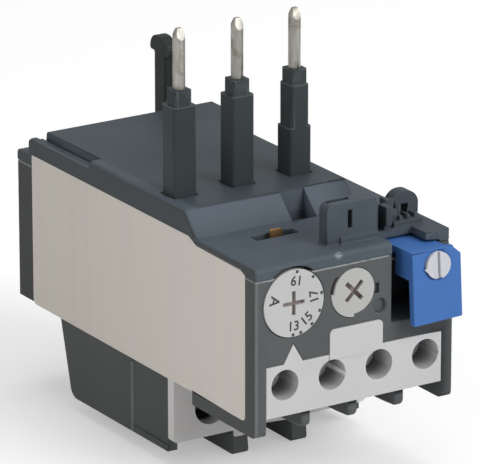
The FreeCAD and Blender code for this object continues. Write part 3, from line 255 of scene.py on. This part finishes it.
def cover_plastic():
    """Blue-grey cover with painted light and shade: painted shade on the raised plate (paler to the left as
    painted light), the flank, its crevices and beside the catches and stand; painted light on the slope,
    painted highlights on its edges; two scuffs.
    """
    f = Finish("cover_plastic")
    x, y, z = f.from_datum()
    tone, speck = mottled(f, rgb(76, 85, 93), rgb(83, 92, 101))
    flat_start, flat_end = PLATE_TOP - 0.35, PLATE_TOP - 0.1

    # Painted shade: the raised plate painted darker, and paler towards its left end as painted light.
    plate = f.band(z, flat_start, flat_end) * f.band(x, 2.2, 3.0) * f.band(y, 20.0, 21.0)
    shaded_plate_tone = f.mix(f.band(x, 3.0, 38.0), rgb(68, 76, 82), rgb(60, 68, 73))
    tone = f.mix(plate, tone, shaded_plate_tone)

    # Painted light: the slope painted paler than the rest.
    slope = f.band(z, 2.5, 2.8) * f.below(z, flat_start, flat_end) * f.band(y, 14.9, 15.3)
    tone = f.mix(slope * f.below(y, 25.2, 25.8), tone, rgb(90, 99, 109))

    # Painted shade: the left flank painted darker.
    shaded_flank = f.below(x, 0.1, 0.4)
    tone = f.mix(shaded_flank * 0.8, tone, rgb(62, 67, 69))

    before_slope = f.below(y, 13.5, 14.5)
    # Painted shade on the deck beside the catches and beside the stand.
    shade_by_catches = f.band(z, 1.9, 2.3) * before_slope * f.band(x, 29.5, 33.0)
    tone = f.mix(shade_by_catches * 0.7, tone, rgb(62, 70, 77))
    shade_by_stand = f.band(z, 2.5, 2.8) * before_slope * f.band(x, 18.0, 18.8)
    tone = f.mix(shade_by_stand * 0.4, tone, rgb(60, 68, 74))

    # Painted shade in crevices and painted highlights on edges.
    tone = painted_edge_highlight(f, painted_crevice_shade(f, tone, rgb(42, 47, 49)), rgb(118, 128, 135))
    streaks = f.band(f.noise(900.0, 3.0, 0.6, (0.35, 1.0, 1.6)), 0.4, 0.56)
    for spot, reach in (((18.4, 0.3, 2.1), 1.3), ((21.6, 5.2, 3.3), 0.8)):
        scuff = f.below(f.distance(spot), 0.0, reach * MM) * streaks
        tone = f.mix(scuff * 0.8, tone, rgb(165, 172, 176))
    return grained(f, tone, speck, 0.5, 0.35)


def base_plastic():
    """Charcoal base with painted light: painted shade on its left flank, right part and crevices, painted
    highlights along its upper and front edges, its front-left corner and a bay step.
    """
    f = Finish("base_plastic")
    x, y, z = f.from_datum()
    tone, speck = mottled(f, rgb(84, 87, 88), rgb(92, 95, 96))

    # Painted shade: the left flank darker, darker again behind the back end of the label, and the right
    # part darker.
    shaded_flank = f.below(x, 0.1, 0.6)
    tone = f.mix(shaded_flank * 0.45, tone, rgb(58, 59, 59))
    behind_label = shaded_flank * f.band(y, 82.2, 82.6)
    tone = f.mix(behind_label * 0.5, tone, rgb(50, 50, 50))
    right_part_shade = f.band(x, 28.0, 33.0)
    tone = f.mix(right_part_shade * 0.4, tone, rgb(68, 72, 73))
    # Painted shade in crevices and painted highlights on edges.
    tone = painted_edge_highlight(f, painted_crevice_shade(f, tone, rgb(44, 47, 48)), rgb(120, 126, 128))

    # Painted highlights: patchy pale lines along the upper edge at front and back, a softer one on the
    # front-left corner and one on the bay step.
    patchy = f.band(f.noise(900.0, 2.0), 0.25, 0.6)
    upper_edge = f.band(z, -0.34, -0.14)
    front_line = upper_edge * f.below(y, 3.3, 3.7) * f.below(x, 29.0, 30.0)
    rear_line = upper_edge * f.band(y, 82.3, 82.7) * f.below(x, 0.2, 0.5)
    front_corner = f.below(x, 0.1, 0.75) * f.below(y, 0.1, 0.6)

    step_upright = f.band(y, 44.2, 44.4) * f.below(y, 44.65, 44.85) * f.band(z, -43.8, -43.4)
    step_level = f.band(z, -43.9, -43.7) * f.below(z, -43.5, -43.3) * f.below(y, 44.4, 44.8)
    bay_wall = f.below(x, 0.5, 1.0) * f.below(z, -29.4, -29.0) * f.band(y, 30.0, 31.0)
    bay_step = (step_upright + step_level) * bay_wall

    highlit_edges = f.larger((front_line + rear_line) * (0.45 + patchy * 0.55), front_corner * 0.3)
    highlit_edges = f.larger(highlit_edges, bay_step * 0.5)
    return grained(f, f.mix(highlit_edges, tone, rgb(158, 163, 163)), speck, 0.5, 0.35)


def drive_disc(name, dark, light, stained):
    """White turning disc whose screwdriver slots have a dull grey-brown floor."""
    f = Finish(name)
    depth = f.from_datum()[1]
    tone, speck = mottled(f, dark, light)
    # Painted highlight along the disc's edges.
    tone = painted_edge_highlight(f, tone, rgb(216, 216, 216))
    stain = f.band(f.noise(160.0, 3.0), 0.5, 0.75)
    tone = f.mix(stain * stained, tone, rgb(186, 180, 170))
    slot = f.band(depth, 0.1, 0.55)
    return grained(f, f.mix(slot, tone, rgb(142, 131, 127)), speck, 0.42, 0.12)


def terminal_plastic(name, dark, light, shade_from, shade_to, deep_shade):
    """Light-grey terminal moulding; its bores are painted darker with depth, as painted shade."""
    f = Finish(name)
    depth = f.from_datum()[1]
    tone, speck = mottled(f, dark, light)
    # Painted highlight along the moulding's edges.
    tone = painted_edge_highlight(f, tone, rgb(212, 211, 212))
    return grained(f, f.mix(f.band(depth, shade_from, shade_to), tone, deep_shade), speck, 0.48, 0.2)


def label_plate():
    """Satin plate, bare: faint upright bands of tint; darker towards the back, which is painted shade."""
    f = Finish("label_plate")
    depth = f.from_datum()[1]
    banded = f.noise(260.0, 2.0, 0.5, (0.05, 1.0, 0.03))
    smear = f.band(f.noise(45.0, 4.0), 0.35, 0.7)
    back = f.mix(smear * 0.4, rgb(207, 202, 193), rgb(211, 207, 199))
    # Painted shade: the label darker towards the back.
    tone = f.mix(f.band(depth, 5.0, 80.0), rgb(222, 217, 210), back)
    tint = f.mix(f.band(banded, 0.36, 0.64), rgb(214, 208, 190), rgb(216, 196, 188))
    return f.close(Base_Color=f.mix(0.3, tone, tint), Roughness=0.42 + smear * 0.08,
                   Normal=f.bump(0.08, 0.02, banded))


def tinned_pin():
    """Drawn and tinned contact pin: lengthwise draw marks, darker oxidised patches."""
    f = Finish("tinned_pin")
    drawn = f.noise(900.0, 3.0, 0.6, (1.0, 1.0, 0.05))
    patch = f.band(f.noise(320.0, 3.0), 0.5, 0.68)
    colour = f.mix(patch * 0.6, rgb(164, 162, 155), rgb(116, 110, 92))
    colour = f.mix(f.band(drawn, 0.35, 0.65) * 0.5, colour, rgb(104, 102, 96))
    return f.close(Base_Color=colour, Metallic=1.0, Roughness=0.44 + patch * 0.14,
                   Normal=f.bump(0.3, 0.03, drawn))


def plated_metal(name, light, dark, rough, metallic=1.0):
    """Zinc or copper surface with rolled streaks and a little tarnish."""
    f = Finish(name)
    rolled = f.noise(1400.0, 2.0, 0.6, (1.0, 0.3, 1.0))
    tarnish = f.band(f.noise(260.0, 4.0), 0.45, 0.7)
    return f.close(Base_Color=f.mix(tarnish * 0.55, light, dark), Metallic=metallic,
                   Roughness=rough + rolled * 0.1, Normal=f.bump(0.2, 0.02, rolled))


def printing_ink():
    """Thin pad-printed ink with slight starvation."""
    f = Finish("printing_ink")
    starved = f.band(f.noise(5200.0, 2.0), 0.35, 0.75)
    colour = f.mix(starved * 0.4, rgb(48, 46, 50), rgb(84, 80, 82))
    return f.close(Base_Color=colour, Roughness=0.6 + starved * 0.1)


BASE = base_plastic()
COVER = cover_plastic()
# The last colour given to each moulded plastic is its painted edge highlight.
SLEEVE = moulded_plastic("sleeve_plastic", rgb(53, 60, 62), rgb(59, 67, 69), 0.5, 0.3,
                         rgb(120, 130, 132), radius=0.5, strength=0.8)
HOOK = moulded_plastic("hook_plastic", rgb(40, 44, 44), rgb(46, 50, 50), 0.5, 0.3, rgb(88, 94, 96))
# The last colour given to each terminal moulding is the painted shade deep in its bores.
BLOCK = terminal_plastic("block_grey", rgb(198, 197, 198), rgb(204, 203, 204), 0.8, 5.0,
                         rgb(134, 133, 136))
SHROUD = terminal_plastic("shroud_grey", rgb(214, 212, 211), rgb(220, 218, 217), 31.0, 33.0,
                          rgb(52, 52, 56))
DIAL = drive_disc("dial_white", rgb(190, 190, 191), rgb(198, 198, 199), stained=0.0)
TEST = drive_disc("test_white", rgb(180, 180, 179), rgb(187, 187, 185), stained=0.5)
KNOB = moulded_plastic("selector_white", rgb(196, 198, 204), rgb(204, 206, 212), 0.42, 0.12,
                       rgb(224, 224, 228))
BLUE = moulded_plastic("reset_blue", rgb(66, 110, 176), rgb(72, 116, 182), 0.45, 0.2, rgb(96, 138, 201))
INNER = moulded_plastic("inner_plastic", rgb(150, 146, 136), rgb(160, 156, 146), 0.55, 0.2,
                        rgb(176, 172, 162))
LABEL = label_plate()
PIN = tinned_pin()
ZINC = plated_metal("zinc_steel", rgb(205, 206, 206), rgb(150, 150, 148), 0.3)
# Painted light: a pale, half-metallic colour so that the screw heads show bright in their dark bores.
BRIGHT_SCREW = plated_metal("screw_painted_bright", rgb(214, 214, 211), rgb(176, 175, 170), 0.4, metallic=0.3)
COPPER = plated_metal("copper_strip", rgb(182, 142, 100), rgb(134, 100, 66), 0.42)
INK = printing_ink()


# ---- shaping of the merged copies ---------------------------------------------------
def at(value, target, slack=0.04):
    """True within slack, in millimetres, of the target."""
    return abs(value - target) < slack


def shifted(shape, *rules):
    """Move corners: the first rule that answers for a corner gives its new relay millimetres."""
    for vert in shape.verts:
        spots = (rule(*on_relay(vert)) for rule in rules)
        spot = next((spot for spot in spots if spot), None)
        if spot:
            vert.co = in_metres(spot)


def resized(axis, x, y, z, factor):
    """Spot moved towards or away from an axis that runs front to back."""
    return axis[0] + (x - axis[0]) * factor, y, axis[1] + (z - axis[1]) * factor


def cut_level(shape, height):
    """Ring of new corners at a height, so that what is above can move alone."""
    bmesh.ops.bisect_plane(shape, geom=shape.verts[:] + shape.edges[:] + shape.faces[:], dist=1e-7,
                           plane_co=in_metres((0, 0, height)), plane_no=(0, 0, 1))


def broken(shape, edges, radius, segments=4, clamped=True):
    """Round the edges off; radius in millimetres."""
    bmesh.ops.bevel(shape, geom=edges, offset=radius * MM, offset_type="OFFSET", affect="EDGES",
                    segments=segments, profile=0.5, clamp_overlap=clamped, material=-1)


def fuller_sleeve(pole):
    """Sleeve filled out to the mouth of its hole in the cover."""
    extra = 0.22
    plate_underside = 5.45
    bore = 1.1

    def rule(x, y, z):
        across, along = x - POLE_X[pole], y - POLE_Y
        if z > plate_underside and hypot(across, along) > bore:
            return x + copysign(extra, across), y + copysign(extra, along), z
    return lambda shape: shifted(shape, rule)


def four_sided_tip(pole):
    """Wedge tip of a pin narrowed from the other two sides as well."""
    shoulder = 37.5
    pin_radius = 1.2
    narrowing = 0.31     # per millimetre of height
    middle = POLE_X[pole]

    def rule(x, y, z):
        room = pin_radius - (z - shoulder) * narrowing
        if z > shoulder + 0.01 and abs(x - middle) > room:
            return middle + copysign(room, x - middle), y, z

    def fit(shape):
        cut_level(shape, shoulder)
        shifted(shape, rule)
    return fit


def slim_hook(shape):
    """Hook at its real thickness, with a fuller head and stem."""
    stem_front = 82.7
    neck = 16.6
    head = 19.0          # everything above belongs to the head

    def rule(x, y, z):
        x = x - 1.8 if x > 32.0 else x
        lowered = z - 0.3
        if at(y, stem_front):
            return x, stem_front - 0.4, z + 1.0 if at(z, neck) else z
        if y < stem_front:
            return x, y - 0.7, lowered if z > head else z + 1.0
        return x, y, lowered if z > head else z
    shifted(shape, rule)


def short_slot(shape):
    """Dial's screwdriver cross at its real length."""
    def rule(x, y, z):
        if hypot(x - DIAL_AT[0], z - DIAL_AT[1]) < 2.9 and y < 1.0:
            return resized(DIAL_AT, x, y, z, 0.9)
    shifted(shape, rule)


def deep_slots(shape):
    """Test disc's cross cut deeper."""
    shifted(shape, lambda x, y, z: (x, 0.9, z) if at(y, 0.6) else None)


def snub_button(shape):
    """Button narrower below its top, with a cut right-hand corner and a short neck."""
    corner_cut = 1.7
    corner_foot = -1.4
    front_left = 33.0
    neck_back = 3.2

    def right_corner(x, y, z):
        if x > 43.9 and z > corner_foot + 0.1:
            return x - corner_cut, y, z

    def left_rear(x, y, z):
        if x < 32.1 and y > 8.0:
            return (32.3, y, z) if z > -1.0 else (front_left, neck_back, z)

    def left_front(x, y, z):
        if x < 32.1:
            return front_left, y, z - 0.3 if z < -13.0 else z
    cut_level(shape, corner_foot)
    shifted(shape, right_corner, left_rear, left_front)


def doubled_corner(y, z, corner_y, corner_z):
    """Lower corner of the label or of its bed, at twice the radius and lowered with the label."""
    return corner_y + (y - corner_y) * 2, corner_z + (z - corner_z) * 2 - LABEL_DROP


def lower_label(shape):
    """Label carried further down, its lower corners rounded wider."""
    label_foot = -28.0

    def rule(x, y, z):
        if z < label_foot + 0.6:
            return x, *doubled_corner(y, z, 3.7 if y < 40 else 82.1, label_foot)
    shifted(shape, rule)


def fitted_base(shape):
    """Label bed, skirts, fin toes and the close recess of the test disc."""
    def label_groove(x, y, z):
        if x < 0.7 and at(z, -29.2):
            return x, y, -28.1 - LABEL_DROP

    def bed_corner(x, y, z):
        if x < 0.7 and 3.5 < y < 4.2 and -28.2 < z < -27.5:
            return x, *doubled_corner(y, z, 3.6, -28.1)

    def skirt_corner(x, y, z):
        if y < 2.05 and z < -28.4 and not 2.4 < x < 41.6:
            return x, y * 0.6, SKIRT_FOOT + (z - SKIRT_FOOT - 0.5) * 0.6

    def skirt_and_fins(x, y, z):
        if y < 22.5 and z < -28.6:
            return x, y, z - 0.5

    def fin_toe(x, y, z):
        if y < 32.6 and z < -44.0:
            return x, y - 2.2, z

    def side_pit(x, y, z):
        if hypot(x - PIT_AT[0], z - PIT_AT[1]) < 1.3 and y < 1.5:
            return resized(PIT_AT, x, y, z, 1.25)

    def disc_recess(x, y, z):
        wide, close = 5.25, 4.66
        out, up = x - TEST_AT[0], z - TEST_AT[1]
        if y < 1.6 and at(hypot(out, up), wide) and -92 < degrees(atan2(up, out)) < 134:
            return resized(TEST_AT, x, y, z, close / wide)

    shifted(shape, label_groove, bed_corner, skirt_corner, skirt_and_fins, fin_toe, side_pit, disc_recess)
    broken(shape, [edge for edge in shape.edges if on_small_fin(edge)], 0.7)


def on_small_fin(edge):
    """True for a side edge on the nose of a fin below the auxiliary block."""
    first, second = (on_relay(vert) for vert in edge.verts)
    near_front = max(first.y, second.y) < 8
    below_block = max(first.z, second.z) < -27.4
    along_side = at(first.x, second.x, 0.02) and 2.6 < first.x < 41.4
    return near_front and below_block and along_side and edge.calc_face_angle(0.0) > 1.2


def fitted_cover(shape):
    """Lower rail with a round back, wider pocket and slot, ear and button stop at their real reach."""
    def rail(x, y, z):
        if x < RAIL_WIDTH + 0.05 and at(z, 6.2):
            return x, y, RAIL_TOP

    def pocket(x, y, z):
        if 20.9 < x < 25.9 and 19.1 < y < 26.3:
            side = 26.6 if x > 25 else 21.1
            end = 24.9 if y > 25 else 20.3 if y < 19.3 else y
            return side, end, -1.0 if at(z, 1.6) else z

    def tool_slot(x, y, z):
        if 9.3 < x < 19.1 and at(y, 14.85) and z < 2.5:
            return x, 14.45, z

    def ear(x, y, z):
        if 36.1 < x < 42.5 and 9.3 < y < 12.1 and z > 6.0:
            return x, y, z - 0.7

    def button_stop(x, y, z):
        if 37.5 < x < 42.1 and y < 6.5 and 0.7 < z < 2.5:
            return 38.6 if at(x, 37.6) else x, 1.2 if at(y, 3.0) else y, z

    def stand_slot(x, y, z):
        if 19.4 < x < 24.7 and z > 7.2 and (at(y, 5.3) or at(y, 6.6)):
            return x, 5.7 if y < 6 else 7.05, z

    shifted(shape, rail, pocket, tool_slot, ear, button_stop, stand_slot)
    broken(shape, [edge for edge in shape.edges if on_rail_top(edge)], RAIL_ROUND)


def on_rail_top(edge):
    """True for a long edge along the top of the cover's left rail."""
    ends = [on_relay(vert) for vert in edge.verts]
    along_top = all(end.x < RAIL_WIDTH + 0.05 and at(end.z, RAIL_TOP) for end in ends)
    return edge.calc_length() > 15 * MM and along_top


def fuller_shroud(shape):
    """Shroud's front brought forward."""
    shifted(shape, lambda x, y, z: (x, y - 0.65, z) if y < 30.3 else None)


def taller_strip(shape):
    """Copper tip a little higher above the deck."""
    shifted(shape, lambda x, y, z: (x, y, z + 0.3) if z > 2.0 else None)


# ---- pieces from the frame, with their edges broken ---------------------------------
def roomy(edge, width):
    """True for a real corner whose faces and neighbours leave room for the bevel."""
    if len(edge.link_faces) != 2 or edge.calc_face_angle(0.0) < radians(28):
        return False
    if any(face.calc_area() < 2.4 * width * max(e.calc_length() for e in face.edges)
           for face in edge.link_faces):
        return False
    return all(e.calc_length() > 1.6 * width for v in edge.verts for e in v.link_edges)


def edged(node, finish, width, fit=None, where=None):
    """Fitted copy of a CAD node that stands for it, with all its corners broken or those where picks."""
    source = frame["nodes"][node]
    shape = bmesh.new()
    shape.from_mesh(source.data)
    bmesh.ops.remove_doubles(shape, verts=shape.verts, dist=0.002 * MM)
    bmesh.ops.dissolve_limit(shape, angle_limit=radians(0.6), verts=shape.verts, edges=shape.edges,
                             use_dissolve_boundaries=False)
    if fit:
        fit(shape)
    corners = [edge for edge in shape.edges if roomy(edge, width * MM)
               and (where is None or all(where(*on_relay(vert)) for vert in edge.verts))]
    broken(shape, corners, width, segments=2, clamped=False)
    piece = finished(shape, f"{node}_edged", finish)
    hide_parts(node)
    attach(piece, source["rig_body"])
    return piece


def finished(shape, name, finish):
    """Object from a bmesh, with smooth shading between its sharp edges."""
    mesh = bpy.data.meshes.new(name)
    shape.to_mesh(mesh)
    shape.free()
    mesh.materials.clear()
    mesh.materials.append(finish)
    for polygon in mesh.polygons:
        polygon.use_smooth = True
        polygon.material_index = 0
    mesh.set_sharp_from_angle(angle=radians(46))
    piece = bpy.data.objects.new(name, mesh)
    bpy.context.scene.collection.objects.link(piece)
    weighted = piece.modifiers.new("even_shading", "WEIGHTED_NORMAL")
    weighted.keep_sharp = True
    return piece


def dress(finish, *nodes):
    """A better material on CAD nodes whose shape stays as it is."""
    for node in nodes:
        part = frame["nodes"][node]
        part.data.materials.clear()
        part.data.materials.append(finish)


def per_pole(name):
    """Names of a piece that each of the three poles has."""
    return [f"{name}_{pole}" for pole in POLE_X]


def squeezed_spring():
    """Reset spring as an edged copy, with a mesh of its own."""
    spring = edged("reset_spring", ZINC, 0.05)
    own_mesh(spring)


def block_front(x, y, z):
    """True for the auxiliary block's front corners, except around its second bore."""
    return y < 0.5 and hypot(x - SECOND_BORE_AT[0], z - SECOND_BORE_AT[1]) > 2.9


def rail_tail():
    """Short rounded end of the left rail behind the raised plate."""
    low, high = Vector((0.0, 80.0, DECK_TOP)), Vector((RAIL_WIDTH, 83.2, RAIL_TOP))
    shape = bmesh.new()
    corners = bmesh.ops.create_cube(shape, size=1.0)["verts"]
    bmesh.ops.scale(shape, vec=(high - low) * MM, verts=corners)
    bmesh.ops.translate(shape, vec=in_metres((low + high) / 2), verts=corners)
    top = [edge for edge in shape.edges if all(on_relay(vert).z > 3 for vert in edge.verts)]
    broken(shape, top, RAIL_ROUND)
    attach(finished(shape, "rail_tail", COVER), "relay")


def edge_all(*rows):
    """Edged copies of several nodes, each row holding what edged() takes."""
    for row in rows:
        edged(*row)


edge_all(
    ("base_housing", BASE, 0.22, fitted_base),
    ("top_cover", COVER, 0.22, fitted_cover),
    ("mounting_hook", HOOK, 0.3, slim_hook),
    ("side_label", LABEL, 0.12, lower_label),
    ("main_terminal_shroud", SHROUD, 0.3, fuller_shroud),
    ("current_dial", DIAL, 0.14, short_slot),
    ("test_disc", TEST, 0.14, deep_slots),
    ("reset_button", BLUE, 0.25, snub_button),
    ("reset_selector", KNOB, 0.12))
for pole in POLE_X:
    edge_all(
        (f"line_sleeve_{pole}", SLEEVE, 0.18, fuller_sleeve(pole)),
        (f"line_pin_{pole}", PIN, 0.12, four_sided_tip(pole)))
edge_all(
    ("main_terminal_screws", ZINC, 0.1),
    ("main_pressure_plates", ZINC, 0.1),
    ("aux_pressure_plates", ZINC, 0.1),
    ("aux_terminal_screws", BRIGHT_SCREW, 0.15),
    ("aux_terminal_block", BLOCK, 0.15, None, block_front),
    ("compensation_strip", COPPER, 0.1, taller_strip))
squeezed_spring()
dress(ZINC, *per_pole("bimetal_strip"), *per_pole("heater_winding"))
dress(COPPER, "closed_contact_bars", "open_contact_bars", "closed_contact_bridge", "open_contact_bridge",
      *per_pole("busbar"), *per_pole("load_terminal"))
dress(INNER, "contact_carrier", "trip_slider", "mechanism_frame", "adjusting_shaft", "test_shaft")
rail_tail()


# ---- dial marks ---------------------------------------------------------------------
def dial_number(word, size):
    """Mesh of one number, thin and a little bold."""
    letters = bpy.data.curves.new("mark", "FONT")
    letters.body = word
    letters.size = size * MM
    letters.align_x = "CENTER"
    letters.align_y = "CENTER"
    letters.extrude = 0.01 * MM
    letters.resolution_u = 3
    letters.offset = 0.055 * MM
    holder = bpy.data.objects.new("mark", letters)
    mesh = bpy.data.meshes.new_from_object(holder)
    bpy.data.objects.remove(holder)
    return mesh


def dial_marks():
    """Scale numbers with their feet to the rim, and short ticks along it."""
    number_radius, tick_radius = 4.5 * MM, 6.15 * MM
    figure_size, letter_size = 2.6325, 2.97
    tick_size = Vector((0.62, 0.02, 0.58)) * MM
    low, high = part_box("current_dial")
    centre = Vector(((low.x + high.x) / 2, low.y, (low.z + high.z) / 2))

    def outward(spin, radius):
        return centre + Vector((cos(spin), 0, sin(spin))) * radius

    shape = bmesh.new()
    for word, angle, size in (("13", -91.5, figure_size), ("15", -52, figure_size), ("17", 7, figure_size),
                              ("19", 83, figure_size), ("A", 165, letter_size)):
        spin = radians(angle)
        mesh = dial_number(word, size)
        mesh.transform(Matrix.Translation(outward(spin, number_radius))
                       @ Matrix.Rotation(-(spin + pi / 2), 4, "Y") @ Matrix.Rotation(pi / 2, 4, "X"))
        shape.from_mesh(mesh)
        bpy.data.meshes.remove(mesh)
    for angle in (84, 47, 9.5, -23, -50, -76, -92):
        spin = radians(angle)
        tick = bmesh.ops.create_cube(shape, size=1.0)["verts"]
        bmesh.ops.scale(shape, vec=tick_size, verts=tick)
        turned = Matrix.Rotation(-(spin - pi / 2), 3, "Y")
        bmesh.ops.rotate(shape, cent=(0, 0, 0), matrix=turned, verts=tick)
        bmesh.ops.translate(shape, vec=outward(spin, tick_radius), verts=tick)
    marks = finished(shape, "dial_marks", INK)
    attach(marks, "dial")


dial_marks()


# ---- floor, light and camera --------------------------------------------------------
SKY_LIGHT = 0.4           # the sky's strength as a light
SKY_SEEN = 1.0            # the same where the camera or gloss sees it
FLOOR_GLOW = 0.36         # seen by the camera and in gloss only
AIM = (0, 0, 0.04)


def studio_floor():
    """Plain pale floor that keeps the object's shadow."""
    shape = bmesh.new()
    bmesh.ops.create_grid(shape, x_segments=1, y_segments=1, size=6.0)
    f = Finish("floor")
    tone = f.mix(f.noise(3.0, 2.0) * 0.3, (0.8, 0.8, 0.8, 1.0), (0.83, 0.83, 0.83, 1.0))
    seen = f.add("ShaderNodeLightPath", out="Is Camera Ray")
    mirrored = f.add("ShaderNodeLightPath", out="Is Glossy Ray")
    pale = f.close(Base_Color=tone, Roughness=0.9, Emission_Color=(1, 1, 1, 1),
                   Emission_Strength=(seen + mirrored) * FLOOR_GLOW)
    floor = finished(shape, "studio_floor", pale)


def studio_world():
    """Even sky, brighter to the camera and in gloss than as a light."""
    world = bpy.data.worlds.new("studio")
    bpy.context.scene.world = world
    world.use_nodes = True
    sky = Graph(world.node_tree)
    seen = sky.add("ShaderNodeLightPath", out="Is Camera Ray")
    mirrored = sky.add("ShaderNodeLightPath", out="Is Glossy Ray")
    strength = sky.add("ShaderNodeMapRange", None,
                       {"Value": sky.larger(seen, mirrored), "To Min": SKY_LIGHT, "To Max": SKY_SEEN})
    background = sky.add("ShaderNodeBackground", None, {"Strength": strength})
    sky.add("ShaderNodeOutputWorld", None, {"Surface": background})


def soft_lamp(name, place, size, power):
    """Square area lamp turned to the object."""
    light = bpy.data.lights.new(name, "AREA")
    light.size = size
    light.energy = power
    lamp = bpy.data.objects.new(name, light)
    lamp.location = place
    lamp.rotation_euler = (Vector(AIM) - Vector(place)).to_track_quat("-Z", "Y").to_euler()
    bpy.context.scene.collection.objects.link(lamp)


def camera():
    """Long lens from the front left, a little above."""
    eye = bpy.data.cameras.new("camera")
    eye.lens = 370.13
    eye.sensor_width = 36.0
    eye.clip_start = 0.05
    eye.clip_end = 20.0
    holder = bpy.data.objects.new("camera", eye)
    holder.location = (-0.50067, -0.79503, 0.35878)
    holder.rotation_euler = Euler((radians(71.274), 0, radians(-32.377)))
    bpy.context.scene.collection.objects.link(holder)
    bpy.context.scene.camera = holder


studio_floor()
studio_world()
soft_lamp("key", (0.55, -1.1, 0.75), 0.8, 12)
soft_lamp("overhead", (0.1, 0.1, 1.4), 0.9, 4.5)
soft_lamp("fill", (-1.3, -0.2, 0.5), 0.9, 3)
camera()
bpy.context.scene.view_settings.view_transform = "Standard"
